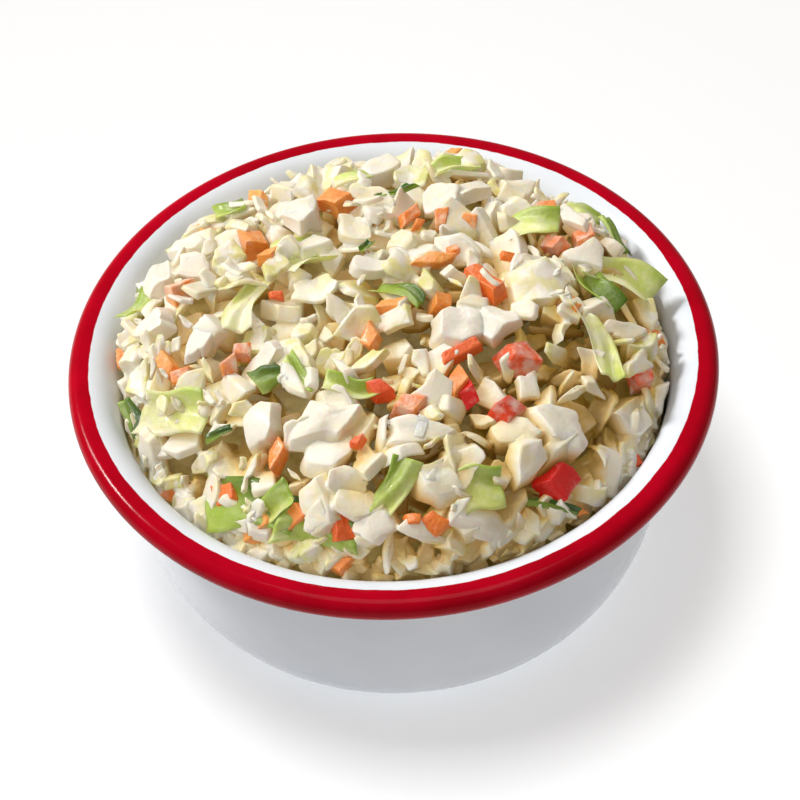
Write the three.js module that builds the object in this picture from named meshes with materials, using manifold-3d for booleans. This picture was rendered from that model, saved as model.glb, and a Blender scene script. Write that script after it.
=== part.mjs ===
// Coleslaw in a round enamelled side bowl: a pressed steel bowl with a rolled rim, filled by one
// rounded heap of chopped cabbage, carrot and green leaf.
// Millimetres, +Z up, origin at the centre of the bowl's flat base. The serving view is from -Y.
import * as THREE from 'three';
import { ConvexGeometry } from 'three/addons/geometries/ConvexGeometry.js';
import { mergeVertices } from 'three/addons/utils/BufferGeometryUtils.js';
import Module from 'manifold-3d';

const wasm = await Module();
wasm.setup();

// ---------------------------------------------------------------- driving sizes
// Bowl
const BASE_RADIUS = 33; // flat base
const SIDE_RADIUS = 52.6; // outside of the upright part of the side
const SIDE_TOP_Z = 43.8; // where the side turns outwards into the lip
const SIDE_SQUARENESS = 3.8; // exponent of the side's curve: 2 is an ellipse, more is squarer
const SHEET = 1.2; // enamelled sheet
const BEAD_RADIUS = 2.3; // section of the rolled rim
const BEAD_CENTRE = new THREE.Vector2(57.7, 47.8);
const LIP_CENTRE = new THREE.Vector2(BEAD_CENTRE.x, SIDE_TOP_Z);
const LIP_RADIUS = LIP_CENTRE.x - SIDE_RADIUS; // underside of the flared lip
const BOWL_SEGMENTS = 48;

// Heap
const WALL_GAP = 0.35; // between the heap and the bowl
const HEAP_RADIUS = 51.2;
const HEAP_EDGE_Z = 42.3;
const HEAP_TOP_Z = 60.6;
const HEAP_FLATNESS = 3; // exponents of the dome's curve
const HEAP_SHOULDER = 2.2;
const PIECE_LIMIT = 50.7; // no piece reaches further out than this
const CORE_DEPTH = 2.9; // how far the plain core lies below the heap's outline
const CORE_DRAWN_IN = 1.04; // how much narrower the core's dome is than the heap's
const GRIP = 0.6; // how deep every piece at least reaches into the core
const CORE_SEGMENTS = 32;
const CORE_RINGS = 8;
const CORE_SWELLS = { height: 0.5, perX: 0.31, perY: 0.27 }; // soft unevenness of the core's top
const SLOPE_STEP = 3; // between the points that the heap's slope is read from
const SLOPE_LIMIT = 44; // further out than this the slope is read at this radius

// Pieces: length, width and thickness of the largest and the smallest of a kind
const CABBAGE = { long: [6, 10.5], wide: 0.7, thick: 0.5 };
const CABBAGE_SCRAP = { long: [4.4, 6.6], wide: 0.75, thick: 0.6 };
const CARROT_THICK = 0.8; // of a carrot dice's width
const LEAF_THICK = 0.8;
const LEAF_GRIP = 1.4; // a leaf's middle line lies this thick for its hold on the core
const CUP = 0.28; // rise of a leaf's edges, of its width
const SCATTERED_CABBAGE = 130;
const SCATTERED_SCRAPS = 75;
const SCATTERED_SHREDS = 6;
const SHRED = { long: [6, 9], wide: [1.6, 2.4] };
const CHUNK_REACH = [0.85, 1.05]; // of half its size, how far a chunk's corners lie from its middle
const CHUNK_TOP = [0.72, 0.92]; // how much smaller its top is
const CHUNK_LEVEL = [0.7, 1]; // of half its thickness, where its corners lie
const DICE_TRUE = [0.85, 1]; // of half its size, where a dice's corners lie
const CURL = [0.05, 0.09]; // height of a leaf's wave, of its length
const CROWDING = 0.25; // of both sizes, how near a scattered piece may lie to a named one
const PROUD = { cabbage: 0.6, carrot: 0.8, leaf: 0 }; // of the heap's outline, at a piece's top

// Mounds and hollows of the heap: x, y, spread, height
const MOUNDS = [
  [14, 40, 9, 3.5],
  [40, 22, 8, 3],
  [-46, 4, 9, 4.5],
  [-38, -34, 8, -8],
  [41, -30, 7, -5],
  [0, -47, 10, 1],
  [-20, -5, 5, -2],
  [24, -22, 6, -1.5],
];

// The pieces that stand out: x, y, length, width, turn in degrees from +X
const CARROTS = [
  [-36, 27, 5.6, 3.8, 15], [-25, 36, 6.2, 2.6, -50], [-25, 19, 6.6, 5, -60], [-22, 13, 4.6, 3, 20],
  [-9, 28, 7, 5.4, -8], [8, 8.5, 9, 3.2, 8], [17.5, 2.5, 8, 3.6, -55], [9, -2, 5.2, 4, 35],
  [0.5, -3, 6.4, 3, 0], [-3.5, -9.5, 6, 3.6, 85], [16, 20, 4.2, 4, 0], [15, 44, 5, 3, 20],
  [30.5, 23.5, 5, 4, 30], [33, -3, 4.6, 4.4, 0], [12, -14, 8, 2.8, 25], [11, -21, 8, 3.6, 85],
  [22, -14, 6.4, 5.4, 10], [19, -26, 7, 5, 20], [-2.5, -22, 5.2, 3.8, -10], [2.5, -26, 6.6, 4, 10],
  [-40, -10.5, 6.2, 3.4, -70], [-50, 1, 4.6, 3.4, 80], [-41, -29, 5.6, 4, -30], [-29, -34, 6.6, 4.6, -25],
  [-20, -32, 6.4, 3.4, 70], [-23.5, -41, 8.6, 4.2, -3], [-17, -42.5, 5.2, 3.6, 20], [-9, -44.5, 6.6, 5.4, 15],
  [-10.5, -48.5, 5, 3, 0], [5.5, -46.5, 5.2, 4, -25], [27, -36.5, 6.4, 5.6, 50], [31, -39.5, 4.2, 2, 0],
  [48, -3.5, 4.6, 3.6, -70], [44, -13, 6.4, 4.8, 80],
];
const GREENS = [
  [-30, 32, 5.4, 5, 10], [-15.5, 13, 9, 7, 35], [-26, 2, 11, 4, 78], [-46.5, 8, 8, 3.2, 80],
  [-21, -18, 5, 4.4, 30], [-16, -18, 6.6, 2.4, -60], [-8, -22, 7, 4.4, -5], [3.5, 0, 9, 2.6, -35],
  [12.5, 34, 8, 4.6, 10], [27, 18, 8.4, 4.4, 5], [44, 7, 15, 8, -14], [37, -11, 13, 4.2, -72],
  [-43, -15.5, 11, 6, -15], [-31, -38, 15, 7, -25], [-15, -46, 13, 5, -20], [-1.5, -43, 10, 3.2, 55],
  [14, -41, 8, 6, 10],
];
const BIG_CABBAGE = [
  [27, 2, 12, 10.5, 5], [12.5, -8.5, 11, 8, 5], [18, -8, 8, 8.6, 70], [3.5, -32, 12, 5.6, 8],
  [-12, -29, 14, 8, 12], [28, -28, 12, 9, -35], [20, -30, 9, 6, 10], [22, -35.5, 9, 7, 85],
  [41.5, -21, 9, 8.6, 0], [9, -38.5, 12, 8, 20], [-13.5, -43, 10, 5.6, 88], [-33, -33, 10, 8, -10],
  [-43.5, -22, 9, 4.6, 80], [-34, -7, 11, 4.6, 76], [-23, -13, 10, 5, 35], [-23, -26, 9.5, 7, 65],
  [-43, 12, 8.6, 7.4, 20], [-38, 21, 8, 5, 5], [7, -23, 8, 6.4, 80], [-2, 7, 10, 5, 8],
  [37, 10, 8.4, 7, 15], [34.5, 20, 8.6, 3.8, -62], [25, 29, 8, 7.4, 20], [-16, 24, 11, 8, 60],
  [11, 25, 9, 7.6, 40], [37, -31, 10, 7.6, -20], [13, -45, 11, 6, -12], [-4.5, -46.5, 7.4, 6, 0],
];

// ---------------------------------------------------------------- helpers
const UP = new THREE.Vector3(0, 0, 1);
const UNSCALED = new THREE.Vector3(1, 1, 1);
const DEGREE = Math.PI / 180;

/** A repeatable source of random numbers from 0 to 1. */
function seededRandom(seed) {
  let state = seed;
  return () => {
    state = (state + 0x6d2b79f5) | 0;
    let mixed = Math.imul(state ^ (state >>> 15), 1 | state);
    mixed = (mixed + Math.imul(mixed ^ (mixed >>> 7), 61 | mixed)) ^ mixed;
    return ((mixed ^ (mixed >>> 14)) >>> 0) / 4294967296;
  };
}
const random = seededRandom(41);
const between = (low, high) => low + (high - low) * random();

/** Points on an arc about a centre, both ends included. */
function arc(centre, radius, fromDegrees, toDegrees, steps) {
  const points = [];
  for (let step = 0; step <= steps; step += 1) {
    const angle = (fromDegrees + (toDegrees - fromDegrees) * (step / steps)) * DEGREE;
    points.push(new THREE.Vector2(centre.x + radius * Math.cos(angle), centre.y + radius * Math.sin(angle)));
  }
  return points;
}

/** Turns a profile of (radius, height) points about Z. */
function turned(profile, segments) {
  return new THREE.LatheGeometry(profile, segments).rotateX(Math.PI / 2);
}

/** The same shape as a manifold solid, with its shared vertices merged. */
function toSolid(geometry) {
  const bare = new THREE.BufferGeometry();
  bare.setAttribute('position', geometry.getAttribute('position').clone());
  bare.setIndex(geometry.getIndex() ? geometry.getIndex().clone() : null);
  const merged = mergeVertices(bare, 1e-4);
  return new wasm.Manifold(new wasm.Mesh({
    numProp: 3,
    vertProperties: new Float32Array(merged.getAttribute('position').array),
    triVerts: new Uint32Array(merged.getIndex().array),
  }));
}

/** A manifold solid as three.js geometry. */
function toGeometry(solid) {
  const mesh = solid.getMesh();
  const geometry = new THREE.BufferGeometry();
  geometry.setAttribute('position', new THREE.BufferAttribute(mesh.vertProperties, 3));
  geometry.setIndex(new THREE.BufferAttribute(mesh.triVerts, 1));
  return geometry;
}

// ---------------------------------------------------------------- bowl
/** The side's outline from the base up, moved inwards by a distance along its own normal. */
function sideOutline(steps, inwards) {
  const points = [];
  const power = 2 / SIDE_SQUARENESS;
  for (let step = 0; step <= steps; step += 1) {
    const angle = (step / steps) * 90 * DEGREE;
    const across = Math.sin(angle) ** power;
    const upwards = Math.cos(angle) ** power;
    const normal = new THREE.Vector2(
      across ** (SIDE_SQUARENESS - 1) / (SIDE_RADIUS - BASE_RADIUS),
      -(upwards ** (SIDE_SQUARENESS - 1)) / SIDE_TOP_Z,
    ).normalize();
    points.push(new THREE.Vector2(
      BASE_RADIUS + (SIDE_RADIUS - BASE_RADIUS) * across - inwards * normal.x,
      SIDE_TOP_Z * (1 - upwards) - inwards * normal.y,
    ));
  }
  return points;
}

function buildBowl() {
  // The lip's underside runs into the bead where the two circles cross.
  const rise = BEAD_CENTRE.y - LIP_CENTRE.y;
  const crossing = (rise ** 2 + LIP_RADIUS ** 2 - BEAD_RADIUS ** 2) / (2 * rise);
  const lipMeetsBead = 180 - Math.asin(crossing / LIP_RADIUS) / DEGREE;
  const beadMeetsLip = 180 - Math.asin((crossing - rise) / BEAD_RADIUS) / DEGREE;
  const underLip = arc(LIP_CENTRE, LIP_RADIUS, 180, lipMeetsBead, 3);
  const bead = arc(BEAD_CENTRE, BEAD_RADIUS, beadMeetsLip, 450, 10);
  const overLip = arc(LIP_CENTRE, LIP_RADIUS + SHEET, 90, 180, 4);
  const profile = [
    new THREE.Vector2(0, 0),
    ...sideOutline(7, 0),
    ...underLip.slice(1),
    ...bead.slice(1, -1),
    ...overLip,
    ...sideOutline(7, SHEET).reverse().slice(1),
    new THREE.Vector2(0, SHEET),
  ];
  return turned(profile, BOWL_SEGMENTS);
}

// ---------------------------------------------------------------- heap
/** Height of the heap's outline over a point of the bowl. */
function heapHeight(x, y) {
  const reach = Math.min(Math.hypot(x, y) / HEAP_RADIUS, 1);
  const dome = (1 - reach ** HEAP_FLATNESS) ** (1 / HEAP_SHOULDER);
  let height = HEAP_EDGE_Z + (HEAP_TOP_Z - HEAP_EDGE_Z) * dome;
  for (const [moundX, moundY, spread, rise] of MOUNDS) {
    height += rise * Math.exp(-((x - moundX) ** 2 + (y - moundY) ** 2) / (2 * spread ** 2));
  }
  return height;
}

/** Direction straight out of the heap's outline, never flatter than a steep slope. */
function heapNormal(x, y) {
  const step = SLOPE_STEP;
  const inner = Math.min(1, SLOPE_LIMIT / Math.max(Math.hypot(x, y), 1));
  const [px, py] = [x * inner, y * inner];
  const slopeX = (heapHeight(px + step, py) - heapHeight(px - step, py)) / (2 * step);
  const slopeY = (heapHeight(px, py + step) - heapHeight(px, py - step)) / (2 * step);
  return new THREE.Vector3(-slopeX, -slopeY, 1).normalize();
}

/** The plain body of the heap, a layer of pieces smaller than its outline. */
function buildCore() {
  const side = sideOutline(5, SHEET + WALL_GAP);
  const coreRadius = side[side.length - 1].x;
  const profile = [new THREE.Vector2(0, SHEET + WALL_GAP), ...side];
  const sidePoints = profile.length;
  for (let ring = CORE_RINGS - 1; ring >= 0; ring -= 1) {
    profile.push(new THREE.Vector2(coreRadius * Math.sin((ring / CORE_RINGS) * 90 * DEGREE), SIDE_TOP_Z));
  }
  const core = turned(profile, CORE_SEGMENTS);
  const position = core.getAttribute('position');
  for (let index = 0; index < position.count; index += 1) {
    const onTop = index % profile.length >= sidePoints - 1;
    if (onTop) {
      const [x, y] = [position.getX(index), position.getY(index)];
      const swell = Math.sin(CORE_SWELLS.perX * x + 1) * Math.cos(CORE_SWELLS.perY * y);
      const unevenness = CORE_SWELLS.height * swell;
      position.setZ(index, heapHeight(x * CORE_DRAWN_IN, y * CORE_DRAWN_IN) - CORE_DEPTH + unevenness);
    }
  }
  return core;
}

/** A chopped chunk: a many-cornered slab with bevelled faces. */
function chunk(long, wide, thick, corners) {
  const points = [];
  const start = between(0, 2 * Math.PI);
  for (let corner = 0; corner < corners; corner += 1) {
    const angle = start + ((corner + between(-0.25, 0.25)) / corners) * 2 * Math.PI;
    const reach = between(...CHUNK_REACH);
    const x = 0.5 * long * reach * Math.cos(angle);
    const y = 0.5 * wide * reach * Math.sin(angle);
    const top = between(...CHUNK_TOP);
    points.push(new THREE.Vector3(x, y, -0.5 * thick * between(...CHUNK_LEVEL)));
    points.push(new THREE.Vector3(x * top, y * top, 0.5 * thick * between(...CHUNK_LEVEL)));
  }
  return new ConvexGeometry(points);
}

/** A carrot dice: a box with its corners cut a little out of true. */
function dice(long, wide, thick) {
  const points = [];
  for (const z of [-0.5 * thick, 0.5 * thick]) {
    for (const y of [-0.5 * wide, 0.5 * wide]) {
      for (const x of [-0.5 * long, 0.5 * long]) {
        const [inX, inY, inZ] = [between(...DICE_TRUE), between(...DICE_TRUE), between(...DICE_TRUE)];
        points.push(new THREE.Vector3(x * inX, y * inY, z * inZ));
      }
    }
  }
  return new ConvexGeometry(points);
}

/** A thin wavy sheet, narrower at its ends, both faces split into triangles alike. */
function sheet(long, wide, thick) {
  const [cellsLong, cellsWide] = [5, 2];
  const curl = between(...CURL) * long;
  const phase = between(0, 2 * Math.PI);
  const positions = [];
  for (const side of [-0.5, 0.5]) {
    for (let i = 0; i <= cellsLong; i += 1) {
      for (let j = 0; j <= cellsWide; j += 1) {
        const along = i / cellsLong - 0.5;
        const narrowing = 1 - 1.4 * along ** 2;
        const y = wide * (j / cellsWide - 0.5) * narrowing;
        const wave = curl * Math.sin(5 * along + phase) + CUP * wide * (2 * j / cellsWide - 1) ** 2;
        positions.push(long * along, y, wave + side * thick);
      }
    }
  }
  const layer = (cellsLong + 1) * (cellsWide + 1);
  const at = (side, i, j) => side * layer + i * (cellsWide + 1) + j;
  const index = [];
  const wall = (lowA, lowB) => index.push(lowA, lowB, lowB + layer, lowA, lowB + layer, lowA + layer);
  for (let i = 0; i < cellsLong; i += 1) {
    for (let j = 0; j < cellsWide; j += 1) {
      const [a, b, c, d] = [at(0, i, j), at(0, i + 1, j), at(0, i + 1, j + 1), at(0, i, j + 1)];
      index.push(a, c, b, a, d, c);
      index.push(a + layer, b + layer, c + layer, a + layer, c + layer, d + layer);
    }
    wall(at(0, i, 0), at(0, i + 1, 0));
    wall(at(0, i + 1, cellsWide), at(0, i, cellsWide));
  }
  for (let j = 0; j < cellsWide; j += 1) {
    wall(at(0, 0, j + 1), at(0, 0, j));
    wall(at(0, cellsLong, j), at(0, cellsLong, j + 1));
  }
  const geometry = new THREE.BufferGeometry();
  geometry.setAttribute('position', new THREE.Float32BufferAttribute(positions, 3));
  geometry.setIndex(index);
  return geometry;
}

/** The pose of a piece laid on the heap so that its top stands proud of the outline. */
function poseOnHeap(spot, turn, lean, thick, proud) {
  const normal = heapNormal(spot.x, spot.y);
  const onSlope = new THREE.Quaternion().setFromUnitVectors(UP, normal);
  const turnedRound = new THREE.Quaternion().setFromAxisAngle(UP, turn * DEGREE);
  const leant = new THREE.Quaternion().setFromEuler(new THREE.Euler(lean[0] * DEGREE, lean[1] * DEGREE, 0));
  const depth = Math.max(0.5 * thick - proud, CORE_DEPTH + GRIP - 0.5 * thick);
  const centre = new THREE.Vector3(spot.x, spot.y, heapHeight(spot.x, spot.y));
  centre.addScaledVector(normal, -depth);
  return new THREE.Matrix4().compose(centre, onSlope.multiply(turnedRound).multiply(leant), UNSCALED);
}

/** How far a posed piece reaches past the room inside the wall. */
function overshoot(piece, pose) {
  const position = piece.getAttribute('position');
  const corner = new THREE.Vector3();
  let most = 0;
  for (let index = 0; index < position.count; index += 1) {
    corner.fromBufferAttribute(position, index).applyMatrix4(pose);
    most = Math.max(most, Math.hypot(corner.x, corner.y) - PIECE_LIMIT);
  }
  return most;
}

/** Lays a piece on the heap at a spot, moved inwards until it is clear of the wall. */
function laid(piece, x, y, ...way) {
  const spot = new THREE.Vector2(x, y);
  let pose = poseOnHeap(spot, ...way);
  for (let excess = overshoot(piece, pose); excess > 0; excess = overshoot(piece, pose)) {
    spot.setLength(spot.length() - excess - 0.1);
    pose = poseOnHeap(spot, ...way);
  }
  return piece.applyMatrix4(pose);
}

/** Spots spread evenly over the heap, from a sunflower's spiral. */
function evenSpots(count, reach, firstTurn) {
  const goldenAngle = Math.PI * (3 - Math.sqrt(5));
  const spots = [];
  for (let index = 0; index < count; index += 1) {
    const radius = reach * Math.sqrt((index + 0.5) / count);
    const angle = firstTurn + index * goldenAngle;
    spots.push([radius * Math.cos(angle), radius * Math.sin(angle)]);
  }
  return spots;
}

/** True where a spot would bury one of the pieces that stand out. */
function coversNamedPiece(x, y, size) {
  return [...CARROTS, ...GREENS, ...BIG_CABBAGE].some(
    ([px, py, long, wide]) => Math.hypot(x - px, y - py) < CROWDING * (long + wide + size),
  );
}

function buildHeap() {
  const pieces = [toSolid(buildCore())];
  const add = (piece, ...place) => pieces.push(toSolid(laid(piece, ...place)));

  for (const [x, y, long, wide, turn] of BIG_CABBAGE) {
    const thick = 0.5 * wide;
    add(chunk(long, wide, thick, 6), x, y, turn, [between(-12, 12), between(-12, 12)], thick, PROUD.cabbage);
  }
  for (const [x, y, long, wide, turn] of GREENS) {
    const leaf = sheet(long, wide, LEAF_THICK);
    add(leaf, x, y, turn, [between(-25, 25), between(-12, 12)], LEAF_GRIP, PROUD.leaf);
  }
  for (const [x, y, long, wide, turn] of CARROTS) {
    const thick = CARROT_THICK * wide;
    add(dice(long, wide, thick), x, y, turn, [between(-20, 20), between(-15, 15)], thick, PROUD.carrot);
  }

  const scatter = (kind, count, firstTurn, corners) => {
    for (const [x, y] of evenSpots(count, PIECE_LIMIT - 1, firstTurn)) {
      const long = between(...kind.long);
      const [wide, thick] = [long * kind.wide * between(0.8, 1.2), long * kind.thick * between(0.8, 1.2)];
      if (!coversNamedPiece(x, y, long)) {
        const lean = [between(-35, 35), between(-30, 30)];
        const piece = chunk(long, wide, thick, corners);
        add(piece, x, y, between(0, 360), lean, thick, between(-0.8, PROUD.cabbage));
      }
    }
  };
  scatter(CABBAGE, SCATTERED_CABBAGE, 0.4, 5);
  scatter(CABBAGE_SCRAP, SCATTERED_SCRAPS, 1.9, 4);
  for (const [x, y] of evenSpots(SCATTERED_SHREDS, PIECE_LIMIT - 6, 3.1)) {
    const shred = sheet(between(...SHRED.long), between(...SHRED.wide), LEAF_THICK);
    add(shred, x, y, between(0, 360), [0, 0], LEAF_GRIP, PROUD.leaf);
  }

  // Fusing can seal small hollows and leave loose scraps; the largest shell is the heap itself.
  const shells = wasm.Manifold.union(pieces).decompose();
  return toGeometry(shells.reduce((best, shell) => (shell.volume() > best.volume() ? shell : best)));
}

// ---------------------------------------------------------------- scene graph
const enamel = new THREE.MeshStandardMaterial({ color: 0xf2f0ec, roughness: 0.2, metalness: 0 });
const creamyCabbage = new THREE.MeshStandardMaterial({ color: 0xefe8d2, roughness: 0.45, metalness: 0 });

const bowl = new THREE.Mesh(buildBowl(), enamel);
bowl.name = 'bowl';
const coleslaw = new THREE.Mesh(buildHeap(), creamyCabbage);
coleslaw.name = 'coleslaw';

const dish = new THREE.Group();
dish.add(bowl, coleslaw);
export default dish;
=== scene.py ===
"""Coleslaw heaped in a round white enamel bowl with a red rolled rim.

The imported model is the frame. The bowl and the heap are rebuilt in fine mesh over their CAD nodes:
the heap as a core, a cream of dressing, and about a thousand chopped pieces laid one by one onto a
bed whose height is kept on a grid. Lengths are millimetres until a mesh is made. +Z is up, and the
serving view is from -Y.
"""
import math

import bpy
import numpy as np
from mathutils import Matrix, Vector


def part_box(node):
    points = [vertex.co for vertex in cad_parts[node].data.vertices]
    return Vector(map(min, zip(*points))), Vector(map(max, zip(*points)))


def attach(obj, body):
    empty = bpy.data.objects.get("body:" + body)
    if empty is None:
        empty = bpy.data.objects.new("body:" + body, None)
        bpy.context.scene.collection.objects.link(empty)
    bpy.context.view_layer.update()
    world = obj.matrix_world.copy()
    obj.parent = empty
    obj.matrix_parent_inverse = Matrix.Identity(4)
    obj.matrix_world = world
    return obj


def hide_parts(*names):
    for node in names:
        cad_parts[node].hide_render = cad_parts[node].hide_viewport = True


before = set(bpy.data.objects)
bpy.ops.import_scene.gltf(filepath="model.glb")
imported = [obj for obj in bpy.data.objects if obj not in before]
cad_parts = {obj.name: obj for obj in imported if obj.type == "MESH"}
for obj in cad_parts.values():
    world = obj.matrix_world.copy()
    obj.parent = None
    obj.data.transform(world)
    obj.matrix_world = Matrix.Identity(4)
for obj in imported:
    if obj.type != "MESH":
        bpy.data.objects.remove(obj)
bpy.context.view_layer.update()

MM = 0.001
ROUND = 2 * math.pi
PHASE = 6.28  # random waves start anywhere up to this
SQUARE = ((-1, -1), (1, -1), (1, 1), (-1, 1))
rng = np.random.default_rng(7)

# ---- sizes
_, bowl_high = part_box("bowl")
RIM_RADIUS = bowl_high.x / MM
RIM_TOP = bowl_high.z / MM

BASE_RADIUS = 33
SHEET = 1.2  # enamelled sheet
SIDE_SQUARENESS = 3.8  # exponent of the side's curve
BEAD_RADIUS = 2.3  # section of the rolled rim
LIP_DROP = 4  # the lip's centre lies this far under the bead's
LIP_RADIUS = 5.1  # underside of the flared lip
BEAD_X = RIM_RADIUS - BEAD_RADIUS
BEAD_Z = RIM_TOP - BEAD_RADIUS
SIDE_TOP_Z = BEAD_Z - LIP_DROP
SIDE_RADIUS = BEAD_X - LIP_RADIUS
RED_FROM, RED_TO = 133, -163  # the red covers the bead between these, in degrees from straight out
BEAD_END = 450  # where the section ends: straight up, once round
UNDER_LIP_WHITE = 0.3  # the underside of the lip is at least this far outside the red
FLOOR_RING = 16  # radius of a ring of points on the flat base
BOWL_SEGMENTS = 180
SIDE_STEPS, BEAD_STEPS, UNDER_LIP_STEPS, LIP_STEPS = 22, 36, 7, 12

WALL_GAP = 0.35  # between the core and the enamel
HEAP_RADIUS = 51.2
HEAP_EDGE_Z = 42.3
HEAP_TOP_Z = 60.6
HEAP_FLATNESS = 3  # exponents of the dome's curve
HEAP_SHOULDER = 2.2
PIECE_LIMIT = 51.1  # no piece reaches further out than this
CORE_DEPTH = 6.5  # the core's top lies this far under the heap's outline
CORE_NARROWING = 1.02  # the core's outline is the heap's, drawn in by this
CORE_SIDE_TOP = 34  # the core's upright side ends under this
CORE_EDGE_Z = 36  # its top is nowhere lower
CORE_SEGMENTS, CORE_SIDE_STEPS, CORE_RINGS = 96, 16, 32

# Mounds and hollows of the heap: x, y, reach, height
MOUNDS = (
    (14, 40, 9, 3.5), (40, 22, 8, 3), (-46, 4, 9, 4.5), (-38, -34, 8, -8),
    (41, -30, 7, -5), (0, -47, 12, 3.5), (-20, -5, 5, -2), (24, -22, 6, -1.5),
)

# The pieces that stand out, as in the part. Carrots: x, y, length, width, turn, redness, veil.
CARROTS = (
    (-36, 27, 5.6, 3.8, 15, 0.1, 0), (-25, 36, 6.2, 2.6, -50, 0.1, 0.1),
    (-25, 19, 6.6, 5, -60, 0.3, 0.2), (-22, 13, 4.6, 3, 20, 0.2, 0.1), (-9, 28, 7, 5.4, -8, 0.3, 0),
    (8, 8.5, 9, 3.2, 8, 0.2, 0.1), (17.5, 2.5, 8, 3.6, -55, 0.6, 0.1), (9, -2, 5.2, 4, 35, 0.3, 0.2),
    (0.5, -3, 6.4, 3, 0, 0.2, 0.1), (-3.5, -9.5, 6, 3.6, 85, 0.3, 0.1), (16, 20, 4.2, 4, 0, 0.3, 0.3),
    (14, 42, 5, 3, 20, 0.1, 0), (30.5, 23.5, 5, 4, 30, 0.4, 0.2), (33, -3, 4.6, 4.4, 0, 0.3, 0),
    (12, -14, 8, 2.8, 25, 0.7, 0), (11, -21, 8, 3.6, 85, 0.4, 0), (22, -14, 6.4, 5.4, 10, 0.8, 0.6),
    (19, -26, 7, 5, 20, 0.9, 0.5), (-2.5, -22, 5.2, 3.8, -10, 0.8, 0), (2.5, -26, 6.6, 4, 10, 0.5, 0.6),
    (-40, -10.5, 6.2, 3.4, -70, 0.2, 0), (-50, 1, 4.6, 3.4, 80, 0.3, 0.3),
    (-43, -28.5, 5.6, 4, -30, 0.4, 0.2), (-29, -34, 6.6, 4.6, -25, 0.6, 0.1),
    (-20, -32, 6.4, 3.4, 70, 0.4, 0.3), (-23.5, -41, 8.6, 4.2, -3, 0.2, 0),
    (-17, -42.5, 5.2, 3.6, 20, 0.4, 0.1), (-9, -44.5, 6.6, 5.4, 15, 0.7, 0),
    (-10.5, -48.5, 5, 3, 0, 0.4, 0.2), (5.5, -46.5, 5.2, 4, -25, 0.5, 0.1),
    (27, -36.5, 6.4, 5.6, 50, 1, 0), (31, -39.5, 4.2, 2, 0, 0.3, 0), (48, -3.5, 4.6, 3.6, -70, 0.4, 0),
    (44, -13, 6.4, 4.8, 80, 0.8, 0.6), (12.5, -23, 5, 4, 80, 1, 0), (43, -27, 4, 3, 10, 0.8, 0.1),
    (-38, 6, 6, 4, 20, 0.3, 0.7), (37, 16.5, 6, 4, 40, 0.5, 0.6), (31, 14, 5, 4, -20, 0.6, 0.6),
    (-29, -13, 5, 3.4, 60, 0.4, 0.7), (-26.5, -10, 4, 3, 20, 0.5, 0.6), (-37.5, -13, 4, 3, 0, 0.4, 0.6),
    (4.5, 22, 6, 3, 60, 0.4, 0.5), (10.5, 20, 5, 3, 70, 0.4, 0.5), (-20.5, 2.5, 2.6, 1.8, 0, 0.7, 0),
    (-6.5, -33, 3, 2, 30, 0.7, 0.1), (22, 9, 3, 2, 10, 0.5, 0.1), (6, 18.5, 3, 2, 40, 0.4, 0.1),
    (12, 10.5, 3, 2, -20, 0.4, 0.1), (2, -46.5, 3, 2.2, 10, 0.5, 0.1),
)
# Green leaf: x, y, length, width, turn, darkness
GREENS = (
    (-30, 32, 5.4, 5, 10, 0.6), (-15.5, 13, 9, 7, 35, 0.25), (-26, 2, 11, 4, 78, 0.1),
    (-46.5, 8, 8, 3.2, 80, 0.55), (-21, -18, 5, 4.4, 30, 0.85), (-16, -18, 6.6, 2.4, -60, 0.6),
    (-8, -22, 7, 4.4, -5, 0.5), (3.5, 0, 9, 2.6, -35, 0.75), (12.5, 34, 8, 4.6, 10, 0.35),
    (27, 18, 8.4, 4.4, 5, 0.4), (37, -11, 13, 4.2, -72, 0.2), (-43, -19, 11, 6, -15, 0.25),
    (-30, -41, 15, 7, -25, 0.75), (-15, -46.5, 13, 5, -20, 0.65), (-1.5, -43, 10, 3.2, 55, 0.5),
    (14, -41, 8, 6, 10, 0.4), (2, 27.5, 6, 1, 10, 0.9), (-4, 13, 3, 1.4, 60, 0.9),
    (-6.5, 34, 6, 3.4, 20, 0.35), (43, 21, 8, 2.4, -65, 0.8), (38, 27, 7, 4, -30, 0.5),
    (37, 3, 9, 5, -60, 0.7), (-48, -15, 6, 3, -70, 0.9), (-21.5, -40.5, 7, 4, 10, 0.5),
    (25, -41, 9, 1.4, -5, 0.9), (-31, -25, 5, 1.2, 10, 0.9), (-45, 30, 5, 2.4, 0, 0.4),
)
STANDING_LEAF = (42.3, 7.5, 15, 8.5, -8, 0.25)  # is laid last, over the other pieces
STANDING_CORNERS = ((-0.55, -0.2), (0.3, -0.6), (0.6, 0.4), (-0.35, 0.5))
STANDING_LEAN = (8, -8)
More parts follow.
